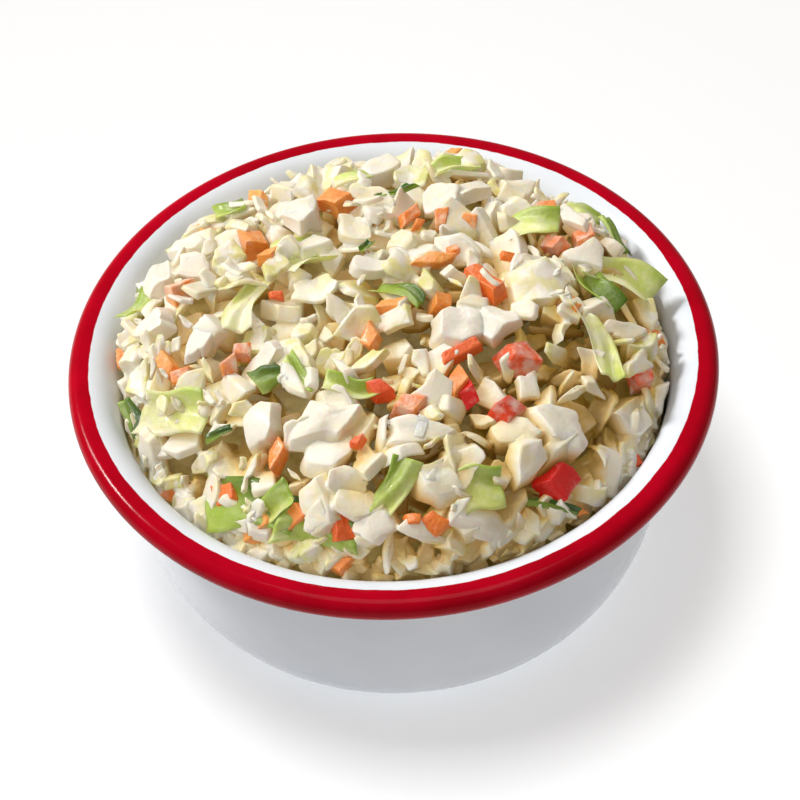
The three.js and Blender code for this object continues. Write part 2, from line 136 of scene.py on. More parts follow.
# Large cabbage: x, y, length, width, turn
BIG_CABBAGE = (
    (27, 2, 12, 10.5, 5), (12.5, -8.5, 11, 8, 5), (18, -8, 8, 8.6, 70), (3.5, -32, 12, 5.6, 8),
    (-12, -29, 14, 8, 12), (28, -28, 12, 9, -35), (20, -30, 9, 6, 10), (22, -35.5, 9, 7, 85),
    (41.5, -21, 9, 8.6, 0), (9, -38.5, 12, 8, 20), (-13.5, -43, 10, 5.6, 88), (-33, -33, 10, 8, -10),
    (-43.5, -22, 9, 4.6, 80), (-34, -7, 11, 4.6, 76), (-23, -13, 10, 5, 35), (-23, -26, 9.5, 7, 65),
    (-43, 12, 8.6, 7.4, 20), (-38, 21, 8, 5, 5), (7, -23, 8, 6.4, 80), (-2, 7, 10, 5, 8),
    (37, 10, 8.4, 7, 15), (34.5, 20, 8.6, 3.8, -62), (25, 29, 8, 7.4, 20), (-16, 24, 11, 8, 60),
    (11, 25, 9, 7.6, 40), (37, -31, 10, 7.6, -20), (13, -45, 11, 6, -12), (-4.5, -46.5, 7.4, 6, 0),
    (16.5, 13.5, 7, 2.4, -40), (23.5, 7.5, 6, 2.2, 60), (-17.5, -19.5, 9, 3, -60), (29, 8, 8, 2.4, 0),
)

# How a chip differs from a plain slab: its corners sway, its sides shift, its outline has waves and
# bites (where, how deep, how wide), and the slab is wedged, sheared and crowned
CORNER_SWAY, SIDE_SHIFT = 0.3, (-0.3, 0.1)
OUTLINE_WAVES, DEEPEST_WAVE = (2, 5), 0.12
MOST_BITES, BITE = 3, ((0, 0.06, 0.12), (ROUND, 0.26, 0.4))
WEDGE, SHEAR, CROWN, WOBBLE = 0.45, 0.25, 0.3, 0.024
BEVEL_OF_WIDTH, BEVEL_OF_THICKNESS = 0.3, 0.48  # at most

# Kinds of chip. A pair is a range to draw from, and corners stay below its end. `share` is the width
# by the length, `thick_share` the thickness by the width, `lean` a spread in degrees, `hold` the share
# of the lower points that lie clear of the bed, and `proud` how far the top may stand over the heap's
# outline. `lime` shapes the draw of the greenness, which grows by `greener` along the chip.
RIB = dict(
    long=(4.5, 11), share=(0.4, 0.95), thick=(1.4, 3.5), corners=(4, 7), bevel=(0.2, 0.5),
    sharp=(12, 26), bend=(-0.8, 0.8), taper=(-0.05, 0.16), points=20, bevel_steps=2,
    lean=25, hold=0.8, proud=2.8, lime=(1.1, 2.4), greener=0.25, shade=(0, 1),
)
FLAKE = RIB | dict(
    long=(5, 10), share=(0.4, 0.9), thick=(0.7, 1.3), bevel=0.3, sharp=(12, 24), bend=(-1.4, 1.4),
    taper=0.05, lime=(1.6, 2.2),
)
SLIVER = RIB | dict(
    long=(5, 10), wide=(1.3, 2.4), thick=(1, 1.8), corners=4, bevel=0.5, sharp=12,
    bend=(-1.2, 1.2), taper=0.1, bevel_steps=3,
)
WALL_CHIP = RIB | dict(
    long=(3.4, 6.4), wide=(2.6, 4.2), thick=(1.6, 3), bevel=(0.2, 0.4), sharp=(12, 24), bend=0.3,
    taper=0.1, lean=22, proud=2,
)
FLANK_CHIP = WALL_CHIP | dict(
    long=(4, 6.6), wide=(3, 4.4), thick=(1, 1.9), lean=12, lime=(1.1, 3), greener=0.2,
)
BIG_CHIP = RIB | dict(
    thick_share=0.42, thickest=3.4, bevel=(0.25, 0.5), sharp=(14, 28), bend=(-1.4, 1.4), taper=0.08,
    points=30, bevel_steps=3, lean=12, hold=0.86, proud=3, lime=(1, 6), greener=0.1, shade=(0.5, 1),
)
CARROT_DIE = dict(
    thick_share=0.85, thickest=4, corners=4, bevel=0.3, sharp=26, bend=(-0.3, 0.3), taper=0.08,
    points=28, bevel_steps=3, uneven=0.5, lean=14, hold=0.9, proud=2.3, shade=(0, 1),
)
FILLER = RIB | dict(
    long=(3, 7.5), share=(0.45, 0.9), thick=(1.2, 2.6), bevel=0.25, sharp=(12, 24), bend=(-0.5, 0.5),
    taper=0.1, proud=2.2, lime=(1.2, 3.2),
)
SCRAP = RIB | dict(
    long=(2, 6), share=(0.2, 0.7), narrowest=0.9, thick=(0.5, 1.1), corners=5, bevel=0.2, sharp=14,
    bend=0.3, taper=0.1, points=14, lean=22, hold=0.7, proud=3, lime=(1.2, 3), greener=0,
)
RIB_LENGTHS = (1.3, 2)  # shape of the draw of a rib's length
SCATTERED = {"rib": 440, "flake": 250, "sliver": 110}  # at most
FILLERS = 260  # at most
SCRAPS = 110
ENOUGH, FILLED = 0.2, 0.8  # scattering and filling stop where less than this is missing

LEAF = dict(curl=(0.03, 0.08), cup=(-0.15, 0.25), folds=(0, 0, 0.5), hold=0.92, proud=2.8)
LEAF_LEANS = ((4, 9), (0, 6))  # mean and spread, in degrees
STANDING = dict(curl=0.05, cup=0.12, fold=0.45, hold=0.97, proud=7)
LEAF_LONGER, LEAF_WIDER = 1.15, 1.25  # than named, because part of a leaf goes under
LEAF_THICK = 0.4
LEAF_CELLS = (20, 10)
DARKER_ACROSS, DARKER_ALONG = 0.3, 0.25

WALL_PIECES = 84  # a first ring along the wall
WALL_IN = (1.2, 3)  # how far inside the limit it is laid
FLANK_PIECES = 228  # stand against the wall, in rows
FLANK_ROWS = 4
FLANK_SHOULDER, FLANK_LEAN = 2.4, 35  # the top is this much further in and leans this much
FLANK_RADIUS = PIECE_LIMIT - 1.4
FLANK_LOW_Z = 43.0
FLANK_UNDER = 1.5  # the highest are this far under the heap's outline
WALL_CLEARANCE = 0.25  # between the pieces and the enamel

VOXEL, SMOOTHED = 0.55, 7  # size and rounds of smoothing of the pieces fused into the dressing
DRESSING_INSET, FRONT_RIGHT_INSET = 0.1, 0.26  # how far it is drawn in, and what is added towards the front right
INSET_SWING, INSET_LIMITS = 0.14, (-0.05, 0.6)
INSET_WAVES, WAVE_SPREAD = 5, 0.28
DRESSING_REACH = 1.0  # further under the pieces than this it is left out
DRESSING_LIME, DRESSING_SHADE = 0.3, 0.5
# Painted shade between the pieces: they darken from this far under the smoothed heap, over this much
PAINTED_SHADE_FROM, PAINTED_SHADE_OVER = 2.2, 6.8
FRONT_RIGHT_SHADE_FROM, FRONT_RIGHT_SHADE_OVER = -3.0, -4.6  # added towards the front right, where the painted shade starts higher and deepens sooner
FRONT_RIGHT_ACROSS = 96  # distance over which the front right share rises from 0 to 1
WEAKER_SHADE_FROM, WEAKER_SHADE_OVER, LEAST_SHADE = 54, 9, 0.3  # towards the wall the painted shade is weaker

ASKED_AGAIN = 0.5  # how much less a spot is in need each time a piece has gone to it
ASKED_CELLS = 2  # and so many cells around it
GOAL_UNDER = 1.6  # the pieces' goal lies this far under the outline
CLUMP_SWING, CLUMP_BLUR = 1.8, 40  # slow rises and dips of the goal, blurred so many times
DEEPEST = 3  # the goal is never further under the outline, and by the wall it is less:
LESS_DEEP, LESS_DEEP_FROM, LESS_DEEP_OVER = 2, 42, 4
ROOM_REACH = 0.3  # of a named piece's length and width together
CHIP_ROOM, CHIP_ROOM_MOST, LEAF_ROOM = 0.45, 5, 1.2  # depth of the hollow kept free for it
BED_CELL = 0.5
BED_HALF = 54
CELL_FALL = 0.25  # a piece counts as this much lower one cell outside it
HEAP_BLUR = 60  # times over, for the smoothed heap


# ---- mesh helpers
def in_scene(name, data):
    """A new object in the scene."""
    thing = bpy.data.objects.new(name, data)
    bpy.context.scene.collection.objects.link(thing)
    return thing


def around(radius, angle):
    """Points at a distance from the axis, in a direction."""
    return np.stack([radius * np.cos(angle), radius * np.sin(angle)], axis=-1)


class Batch:
    """Many shapes gathered into one mesh, with a few values kept for every vertex."""

    def __init__(self):
        self.vertices, self.faces, self.values, self.count = [], [], {}, 0

    def add(self, vertices, faces, **values):
        self.vertices.append(vertices)
        self.faces.append(np.asarray(faces) + self.count)
        self.count += len(vertices)
        for name, value in values.items():
            self.values.setdefault(name, []).append(np.broadcast_to(value, len(vertices)))

    def build(self, name, material):
        vertices = np.concatenate(self.vertices) * MM
        faces = np.concatenate(self.faces)
        mesh = bpy.data.meshes.new(name)
        mesh.from_pydata(vertices, [], faces.tolist())
        for value_name, parts in self.values.items():
            attribute = mesh.attributes.new(value_name, "FLOAT", "POINT")
            attribute.data.foreach_set("value", np.concatenate(parts).astype(np.float32))
        mesh.shade_smooth()
        mesh.materials.append(material)
        return in_scene(name, mesh)


def ring_faces(rings, segments):
    """Triangles of a closed skin: a pole, then rings of points, then the other pole."""
    faces, top = [], 1 + (rings - 1) * segments
    for j in range(segments):
        k = (j + 1) % segments
        faces.append((0, 1 + k, 1 + j))
        for low in range(1, top, segments):
            high = low + segments
            faces += [(low + j, low + k, high + k), (low + j, high + k, high + j)]
        faces.append((top + segments, top + j, top + k))
    return faces


def lathe(profile, segments, name, material, values=None):
    """Turns (radius, height) points about Z. The first and last point lie on the axis."""
    turn = np.arange(segments) / segments * ROUND
    inner = np.asarray(profile[1:-1], float)
    level = np.repeat(inner[:, 1:], segments, axis=1)
    rings = np.dstack([around(inner[:, :1], turn), level]).reshape(-1, 3)
    ends = [(0, 0, profile[0][1]), (0, 0, profile[-1][1])]
    batch, by_point = Batch(), {}
    for key, value in (values or {}).items():
        by_point[key] = np.concatenate([[value[0]], np.repeat(value[1:-1], segments), [value[-1]]])
    batch.add(np.vstack([ends[0], rings, ends[1]]), ring_faces(len(inner), segments), **by_point)
    return batch.build(name, material)


# ---- bowl
def arc(centre, radius, start, end, steps):
    """Points on an arc, in degrees, both ends included."""
    angles = np.radians(np.linspace(start, end, steps + 1))
    return centre + around(radius, angles)


def side_outline(steps, inwards):
    """The side's outline from the base up, moved inwards along its own normal."""
    angle = np.linspace(0, math.pi / 2, steps + 1)
    across = np.sin(angle) ** (2 / SIDE_SQUARENESS)
    upwards = np.cos(angle).clip(0) ** (2 / SIDE_SQUARENESS)
    normal = np.stack([
        across ** (SIDE_SQUARENESS - 1) / (SIDE_RADIUS - BASE_RADIUS),
        -(upwards ** (SIDE_SQUARENESS - 1)) / SIDE_TOP_Z,
    ], axis=1)
    normal /= np.linalg.norm(normal, axis=1, keepdims=True)
    outline = np.stack([
        BASE_RADIUS + (SIDE_RADIUS - BASE_RADIUS) * across,
        SIDE_TOP_Z * (1 - upwards),
    ], axis=1)
    return outline - inwards * normal


def build_bowl(material):
    """The pressed bowl with its rolled rim. `rim` is the distance inside the red along the section."""
    crossing = (LIP_DROP ** 2 + LIP_RADIUS ** 2 - BEAD_RADIUS ** 2) / (2 * LIP_DROP)
    lip_end = 180 - math.degrees(math.asin(crossing / LIP_RADIUS))
    bead_start = 180 - math.degrees(math.asin((crossing - LIP_DROP) / BEAD_RADIUS))
    lip, bead = (BEAD_X, SIDE_TOP_Z), (BEAD_X, BEAD_Z)
    bead_arc = arc(bead, BEAD_RADIUS, bead_start, BEAD_END, BEAD_STEPS)[1:-1]
    bead_angle = np.linspace(bead_start, BEAD_END, BEAD_STEPS + 1)[1:-1]
    before = [
        [(0, 0)], [(FLOOR_RING, 0)], side_outline(SIDE_STEPS, 0),
        arc(lip, LIP_RADIUS, 180, lip_end, UNDER_LIP_STEPS)[1:],
    ]
    after = [
        arc(lip, LIP_RADIUS + SHEET, 90, 180, LIP_STEPS), side_outline(SIDE_STEPS, SHEET)[::-1][1:],
        [(FLOOR_RING, SHEET)], [(0, SHEET)],
    ]
    before, after = np.concatenate(before), np.concatenate(after)
    into_red = np.minimum(bead_angle - (360 + RED_TO), 360 + RED_FROM - bead_angle)
    on_bead = np.radians(into_red) * BEAD_RADIUS
    lip_gap = np.linalg.norm(after - bead_arc[-1], axis=1)
    profile = np.concatenate([before, bead_arc, after])
    under_lip = np.linalg.norm(before - bead_arc[0], axis=1)
    rim = np.concatenate([-UNDER_LIP_WHITE - under_lip, on_bead, on_bead[-1] - lip_gap])
    return lathe(profile, BOWL_SEGMENTS, "bowl_enamelled", material, {"rim": rim})


# ---- heap outline
def heap_height(x, y):
    """Height of the heap's outline over a point of the bowl."""
    out = np.minimum(np.hypot(x, y) / HEAP_RADIUS, 1)
    dome = (1 - out ** HEAP_FLATNESS) ** (1 / HEAP_SHOULDER)
    height = HEAP_EDGE_Z + (HEAP_TOP_Z - HEAP_EDGE_Z) * dome
    for mound_x, mound_y, reach, rise in MOUNDS:
        away = (x - mound_x) ** 2 + (y - mound_y) ** 2
        height = height + rise * np.exp(-away / (2 * reach ** 2))
    return height


def heap_normal(x, y):
    """Direction straight out of the heap's outline, never flatter than a steep slope."""
    step, steep_from = 3, 44
    inner = min(1, steep_from / max(math.hypot(x, y), 1))
    px, py = x * inner, y * inner
    slope_x = (heap_height(px + step, py) - heap_height(px - step, py)) / (2 * step)
    slope_y = (heap_height(px, py + step) - heap_height(px, py - step)) / (2 * step)
    return Vector((-slope_x, -slope_y, 1)).normalized()


def core_height(x, y):
    return heap_height(x * CORE_NARROWING, y * CORE_NARROWING) - CORE_DEPTH


def build_core(material):
    """What lies under the pieces, down to the bowl's floor."""
    side = side_outline(CORE_SIDE_STEPS, SHEET + WALL_GAP)
    edge = side[-1][0]
    top = core_height(edge, 0)
    side = side[side[:, 1] < CORE_SIDE_TOP]
    rings = np.linspace(edge, 0, CORE_RINGS)
    profile = np.concatenate([[(0, SHEET + WALL_GAP)], side, [(r, top) for r in rings]])
    core = lathe(profile, CORE_SEGMENTS, "coleslaw_core", material)
    first = 1 + len(side) * CORE_SEGMENTS
    for vertex in core.data.vertices[first:]:
        x, y = vertex.co.x / MM, vertex.co.y / MM
        vertex.co.z = max(core_height(x, y), CORE_EDGE_Z) * MM
    return core


# ---- shapes of pieces
def even_outline(radius_at, points):
    """An outline given as radius by angle, sampled more densely where it turns."""
    samples, weight_of_turns = 145, 1.6
    angle = np.linspace(0, ROUND, samples)
    radius = radius_at(angle)
    line = around(radius, angle)
    step = np.diff(line, axis=0)
    length = np.linalg.norm(step, axis=1)
    heading = np.unwrap(np.arctan2(step[:, 1], step[:, 0]))
    turning = np.abs(np.diff(heading, append=heading[0] + ROUND))
    weight = length / length.sum() + weight_of_turns * turning / turning.sum()
    travelled = np.concatenate([[0], np.cumsum(weight)])
    wanted = np.arange(points) / points * travelled[-1]
    return np.stack([np.interp(wanted, travelled, line[:, axis]) for axis in (0, 1)], axis=1)


def chopped_outline(long, wide, corners, sharp, points, uneven):
    """A many-sided outline with rounded corners, as a knife leaves it."""
    start = uneven * rng.uniform(0, ROUND)
    steps = np.arange(corners) + uneven * rng.uniform(-CORNER_SWAY, CORNER_SWAY, corners)
    facing = start + steps / corners * ROUND
    away = 1 + uneven * rng.uniform(*SIDE_SHIFT, corners)
    wave, depth = rng.integers(*OUTLINE_WAVES), uneven * rng.uniform(0, DEEPEST_WAVE)
    phase = rng.uniform(0, PHASE)
    bites = rng.integers(0, MOST_BITES + 1) if uneven == 1 else 0
    bite = rng.uniform(*BITE, (bites, len(BITE[0])))

    def radius_at(angle):
        pull = np.maximum(np.cos(angle[:, None] - facing) / away, 0) ** sharp
        radius = pull.sum(axis=1) ** (-1 / sharp) * (1 + depth * np.sin(wave * angle + phase))
        for where, how_deep, how_wide in bite:
            off = (angle - where + math.pi) % ROUND - math.pi
            radius = radius * (1 - how_deep * np.exp(-(off / how_wide) ** 2))
        return radius

    outline = even_outline(radius_at, points)
    outline /= np.ptp(outline, axis=0)
    return outline * (long, wide)


def chip(long, wide, thick, corners, bevel, sharp, bend, taper, points, bevel_steps, uneven=1.0):
    """A chopped slab: flat faces, rounded edges, tapered, sheared, bent and a little uneven.

    Returns its points, its triangles, and where each point lies along it.
    """
    outline = chopped_outline(long, wide, corners, sharp, points, uneven)
    bevel = min(bevel, BEVEL_OF_WIDTH * min(long, wide), BEVEL_OF_THICKNESS * thick)
    inset = 2 * bevel / np.array([long, wide])
    quarter = np.linspace(0, math.pi / 2, bevel_steps + 1)
    sections = [(outline * 0.5, -0.5 * thick)]
    for side, turns in ((-1, -quarter[::-1]), (1, quarter)):
        for turn in turns:
            level = side * (0.5 * thick - bevel) + bevel * math.sin(turn)
            sections.append((outline * (1 - inset * (1 - math.cos(turn))), level))
    sections.append((outline * 0.5, 0.5 * thick))
    rings = [np.column_stack([ring, np.full(points, level)]) for ring, level in sections]
    x, y, z = np.vstack([(0, 0, -0.5 * thick), *rings, (0, 0, 0.5 * thick)]).T
    height = z / thick
    wedge = rng.uniform(-WEDGE, WEDGE, 2)
    narrowing = 1 - 2 * taper * height
    shear = rng.uniform(-SHEAR, SHEAR, 2) * thick
    nx = x * narrowing + shear[0] * height
    ny = y * narrowing + shear[1] * height
    nz = z * (1 + wedge[0] * x / long + wedge[1] * y / wide)
    crown = rng.uniform(-CROWN, CROWN) * bend
    nz = nz + bend * ((2 * x / long) ** 2 - 0.3) + crown * (2 * y / wide) ** 2
    shape = wobbled(np.column_stack([nx, ny, nz]), WOBBLE * min(long, wide))
    return shape, ring_faces(len(sections), points), x / long


def drawn(value):
    """A number as it stands, or one drawn from a (low, high) range."""
    return rng.uniform(*value) if isinstance(value, tuple) else value


def cut(kind, long=None, wide=None):
    """A chip of a kind, its length and width drawn where they aren't given."""
    long = drawn(kind["long"]) if long is None else long
    if wide is None and "wide" in kind:
        wide = drawn(kind["wide"])
    elif wide is None:
        wide = max(long * drawn(kind["share"]), kind.get("narrowest", 0))
    if "thick_share" in kind:
        thick = min(kind["thick_share"] * wide, kind["thickest"])
    else:
        thick = drawn(kind["thick"])
    corners = kind["corners"]
    corners = rng.integers(*corners) if isinstance(corners, tuple) else corners
    bevel, sharp, bend, taper = (drawn(kind[name]) for name in ("bevel", "sharp", "bend", "taper"))
    return chip(long, wide, thick, corners, bevel, sharp, bend, taper, kind["points"],
                kind["bevel_steps"], kind.get("uneven", 1.0))


def wobbled(vertices, amount):
    """Soft unevenness from a few slow waves."""
    for _ in range(4):
        way = rng.normal(size=3)
        wave = way / np.linalg.norm(way) * rng.uniform(0.4, 1.5)
        push = rng.normal(size=3) * amount
        vertices = vertices + np.sin(vertices @ wave + rng.uniform(0, PHASE))[:, None] * push
    return vertices


def leaf(long, wide, curl, cup, fold, corner=None):
    """A cut scrap of leaf: a thin wavy sheet with four straight edges, both faces alike.

    Returns its points, its faces, and where each point lies along and across it.
    """
    edge_wave, sweep, ripple, fold_at, phase = 0.05, 0.1, 0.035, 0.12, 6
    rows, columns = LEAF_CELLS[0] + 1, LEAF_CELLS[1] + 1
    along, across = np.meshgrid(
        np.linspace(-0.5, 0.5, rows), np.linspace(-0.5, 0.5, columns), indexing="ij",
    )
    if corner is None:
        corner = 0.5 * np.array(SQUARE) + rng.uniform(-0.2, 0.2, (4, 2))
    share = [(0.5 + a * along) * (0.5 + b * across) for a, b in SQUARE]
    x = long * sum(part * c[0] for part, c in zip(share, corner))
    y = wide * sum(part * c[1] for part, c in zip(share, corner))
    y = y + edge_wave * wide * np.sin(7 * along + rng.uniform(0, phase))
    y = y + rng.uniform(-sweep, sweep) * long * (2 * along) ** 2
    z = curl * long * np.sin(4.5 * along + rng.uniform(0, phase)) + cup * wide * (2 * across) ** 2
    z = z + fold * wide * np.abs(across - fold_at)
    z = z + ripple * long * np.sin(9 * across + 4 * along + rng.uniform(0, phase))
    rim = np.minimum(0.5 - np.abs(along), 0.5 - np.abs(across)) < 1e-6
    half = np.where(rim, 0.2, 0.5) * LEAF_THICK
    low = np.stack([x, y, z - half], axis=-1).reshape(-1, 3)
    high = np.stack([x, y, z + half], axis=-1).reshape(-1, 3)
    layer = rows * columns
    faces = []
    for i in range(rows - 1):
        for j in range(columns - 1):
            a, b = i * columns + j, (i + 1) * columns + j
            c, d = a + layer, b + layer
            faces += [(a, a + 1, b + 1), (a, b + 1, b), (c, d + 1, c + 1), (c, d, d + 1)]
    index = np.arange(layer).reshape(rows, columns)
    edge = [*index[:, 0], *index[-1, 1:], *index[-2::-1, -1], *index[0, -2:0:-1]]
    for a, b in zip(edge, edge[1:] + edge[:1]):
        faces += [(a, b, b + layer), (a, b + layer, a + layer)]
    return np.vstack([low, high]), faces, np.tile(along.ravel(), 2), np.tile(across.ravel(), 2)


# ---- laying the pieces
def blurred(grid, passes):
    for _ in range(passes):
        grid = (np.roll(grid, 1, 0) + grid * 2 + np.roll(grid, -1, 0)) / 4
        grid = (np.roll(grid, 1, 1) + grid * 2 + np.roll(grid, -1, 1)) / 4
    return grid


class Bed:
    """The height of everything laid in the bowl so far, on a square grid."""

    def __init__(self):
        self.axis = np.arange(-BED_HALF, BED_HALF + BED_CELL, BED_CELL)
        self.x, self.y = np.meshgrid(self.axis, self.axis, indexing="ij")
        self.height = core_height(self.x, self.y)
        clumps = blurred(rng.normal(size=self.x.shape), CLUMP_BLUR)
        outline = heap_height(self.x, self.y)
        by_the_wall = np.clip((np.hypot(self.x, self.y) - LESS_DEEP_FROM) / LESS_DEEP_OVER, 0, 1)
        least = outline - DEEPEST + LESS_DEEP * by_the_wall
        self.goal = np.maximum(outline - GOAL_UNDER + CLUMP_SWING * clumps / clumps.std(), least)
        self.full_goal = self.goal.copy()
        self.asked = np.zeros_like(self.height)

    def cell(self, points):
        index = np.rint((points[:, :2] + BED_HALF) / BED_CELL).astype(int)
        return tuple(np.clip(index, 1, len(self.axis) - 2).T)

    def room_for(self, x, y, long, wide, depth):
        """Keeps a hollow free for a piece that is laid later."""
        reach = ROOM_REACH * (long + wide)
        away = ((self.x - x) ** 2 + (self.y - y) ** 2) / reach ** 2
        self.goal -= depth * np.exp(-away ** 2)

    def no_more_room(self):
        """Lets the hollows be filled that were kept free."""
        self.goal = self.full_goal
        self.asked[:] = 0

    def neediest(self, candidates):
        """The spot that lies furthest under its goal, among some drawn at random."""
        radius = (PIECE_LIMIT - 1) * np.sqrt(rng.uniform(0, 1, candidates))
        angle = rng.uniform(0, ROUND, candidates)
        spots = around(radius, angle)
        i, j = self.cell(spots)
        missing = np.zeros(candidates)
        looked_at = ((0, 0), (3, 0), (-3, 0), (0, 3), (0, -3))
        for di, dj in looked_at:
            a, b = np.clip(i + di, 0, len(self.axis) - 1), np.clip(j + dj, 0, len(self.axis) - 1)
            missing += self.goal[a, b] - self.height[a, b] - self.asked[a, b]
        best = int(np.argmax(missing))
        i, j = i[best] - ASKED_CELLS, j[best] - ASKED_CELLS
        self.asked[i:i + 2 * ASKED_CELLS + 1, j:j + 2 * ASKED_CELLS + 1] += ASKED_AGAIN
        return spots[best], missing[best] / len(looked_at)

    def settle(self, vertices, hold):
        """How far to lift a piece so that it lies on the bed, the share `hold` of its points clear."""
        low = vertices[vertices[:, 2] < np.median(vertices[:, 2])]
        return np.quantile(self.height[self.cell(low)] - low[:, 2], hold)

    def depth(self, vertices):
        """Painted shade for a point: 0 near the heap's open surface, 1 far down between the pieces,
        weaker by the wall.
        """
        surface = blurred(self.height, HEAP_BLUR)[self.cell(vertices)]
        front_right = front_right_share(vertices)
        # towards the front right the painted shade starts higher and deepens sooner
        start, over = PAINTED_SHADE_FROM + FRONT_RIGHT_SHADE_FROM * front_right, PAINTED_SHADE_OVER + FRONT_RIGHT_SHADE_OVER * front_right
        out = np.hypot(vertices[:, 0], vertices[:, 1])
        # the painted shade is weaker by the wall
        shade_kept = np.clip((WEAKER_SHADE_FROM - out) / WEAKER_SHADE_OVER, LEAST_SHADE, 1)
        return np.clip((surface - vertices[:, 2] - start) / over, 0, 1) * shade_kept

    def lay(self, vertices):
        i, j = self.cell(vertices)
        for di in (-1, 0, 1):
            for dj in (-1, 0, 1):
                fall = CELL_FALL * (abs(di) + abs(dj))
                np.maximum.at(self.height, (i + di, j + dj), vertices[:, 2] - fall)


def front_right_share(points):
    """How far a point lies towards the front right, 0 at the back left to 1: there the painted shade is
    deeper and the dressing drawn further in.
    """
    return np.clip(0.5 + (0.8 * points[:, 0] - points[:, 1]) / FRONT_RIGHT_ACROSS, 0, 1)


def posed(vertices, x, y, turn, lean):
    """Turns a shape about up, leans it, and lays it along the heap's slope at a spot."""
    slope = Vector((0, 0, 1)).rotation_difference(heap_normal(x, y)).to_matrix()
    spin = Matrix.Rotation(math.radians(turn), 3, "Z")
    tip = Matrix.Rotation(math.radians(lean[0]), 3, "X") @ Matrix.Rotation(math.radians(lean[1]), 3, "Y")
    return vertices @ np.array(slope @ spin @ tip).T + (x, y, 0)


def wall_radius(z):
    """The inside of the bowl at a height: an upright side, then the lip's quarter circle."""
    up = np.clip(z - SIDE_TOP_Z, 0, LIP_RADIUS + SHEET)
    return BEAD_X - np.sqrt((LIP_RADIUS + SHEET) ** 2 - up ** 2)


def kept_inside(vertices):
    """Moves a piece towards the middle until it is clear of the wall."""
    tries, push = 6, 1.05
    for _ in range(tries):
        reach = np.hypot(vertices[:, 0], vertices[:, 1])
        excess = reach - wall_radius(vertices[:, 2]) + WALL_CLEARANCE
        worst = int(np.argmax(excess))
        if excess[worst] <= 0:
            break
        inwards = vertices[worst, :2] / reach[worst] * excess[worst] * push
        vertices = vertices - (*inwards, 0)
    return vertices


def lie_down(bed, vertices, x, y, turn, lean, kind):
    """Lays a piece on the bed, as proud of the heap's outline as its kind may be."""
    vertices = posed(vertices, x, y, turn, lean)
    for _ in range(2):
        vertices = vertices + (0, 0, bed.settle(vertices, kind["hold"]))
        top = np.quantile(vertices[:, 2] - heap_height(vertices[:, 0], vertices[:, 1]), 0.95)
        vertices = vertices - (0, 0, max(top - kind["proud"], 0))
        vertices = kept_inside(vertices)
    bed.lay(vertices)
    return vertices


def leaned(kind):
    return rng.normal(0, kind["lean"], 2)


def keep_cabbage(batch, kind, shape, faces, along, lime=None):
    """Adds a chip that has been laid, with its greenness and shade."""
    lime = rng.beta(*kind["lime"]) if lime is None else lime
    lime = np.clip(lime + kind["greener"] * along, 0, 1)
    batch.add(shape, faces, lime=lime, shade=rng.uniform(*kind["shade"]))


def lay_chip(bed, batch, kind, piece, place, lime=None):
    """Lays a cut chip at a place, which is a spot, a turn and a lean, and adds it."""
    shape, faces, along = piece
    keep_cabbage(batch, kind, lie_down(bed, shape, *place, kind), faces, along, lime)


def lay_ring(bed, ribs):
    """A first ring of chips along the wall."""
    for angle in np.arange(WALL_PIECES) / WALL_PIECES * 360 + rng.normal(0, 1, WALL_PIECES):
        out, turn = PIECE_LIMIT - rng.uniform(*WALL_IN), math.radians(angle)
        piece = cut(WALL_CHIP)
        spot = out * math.cos(turn), out * math.sin(turn)
        turned = angle + rng.normal(90, 40)
        lay_chip(bed, ribs, WALL_CHIP, piece, (*spot, turned, leaned(WALL_CHIP)))


def scatter(bed, batches):
    """The crowd of chips, each where the bed lies furthest under its goal."""
    kinds = {"rib": RIB, "flake": FLAKE, "sliver": SLIVER}
    shortest, longest = RIB["long"]
    for name in rng.permutation(np.repeat(list(SCATTERED), list(SCATTERED.values()))):
        spot, missing = bed.neediest(40)
        if missing < ENOUGH:
            break
        kind = kinds[name]
        lean, turn = leaned(kind), rng.uniform(0, 360)
        lime = rng.beta(*RIB["lime"])
        long = shortest + (longest - shortest) * rng.beta(*RIB_LENGTHS) if kind is RIB else None
        piece = cut(kind, long)
        if kind is FLAKE:
            lime = rng.beta(*FLAKE["lime"])
        lay_chip(bed, batches[name], kind, piece, (*spot, turn, lean), lime)


def lay_named(bed, ribs, greens, carrots):
    """The large chips, leaves and carrots, each in its own place."""
    for x, y, long, wide, turn in BIG_CABBAGE:
        piece = cut(BIG_CHIP, long, wide)
        lay_chip(bed, ribs, BIG_CHIP, piece, (x, y, turn, leaned(BIG_CHIP)))
    for x, y, long, wide, turn, dark in GREENS:
        curl, cup, fold = drawn(LEAF["curl"]), drawn(LEAF["cup"]), rng.choice(LEAF["folds"])
        blade = leaf(LEAF_LONGER * long, LEAF_WIDER * wide, curl, cup, fold)
        lean = [rng.normal(*leaning) for leaning in LEAF_LEANS]
        keep_leaf(bed, greens, blade, (x, y, turn, lean, LEAF), dark)
    for x, y, long, wide, turn, red, veil in CARROTS:
        shape, faces, _ = cut(CARROT_DIE, long, wide)
        shape = lie_down(bed, shape, x, y, turn, leaned(CARROT_DIE), CARROT_DIE)
        carrots.add(shape, faces, red=red, veil=veil, shade=rng.uniform(*CARROT_DIE["shade"]))


def keep_leaf(bed, greens, blade, place, dark):
    """Lays a leaf and adds it, darker towards one corner."""
    shape, faces, along, across = blade
    shape = lie_down(bed, shape, *place)
    dark = np.clip(dark + DARKER_ACROSS * across + DARKER_ALONG * along, 0, 1)
    greens.add(shape, faces, dark=dark)


def lay_where_needed(bed, batch, kind, most, enough):
    """Up to so many chips of a kind, until less than `enough` is missing anywhere."""
    for _ in range(most):
        spot, missing = bed.neediest(200)
        if missing < enough:
            break
        piece = cut(kind)
        turn, lean = rng.uniform(0, 360), leaned(kind)
        lay_chip(bed, batch, kind, piece, (*spot, turn, lean))


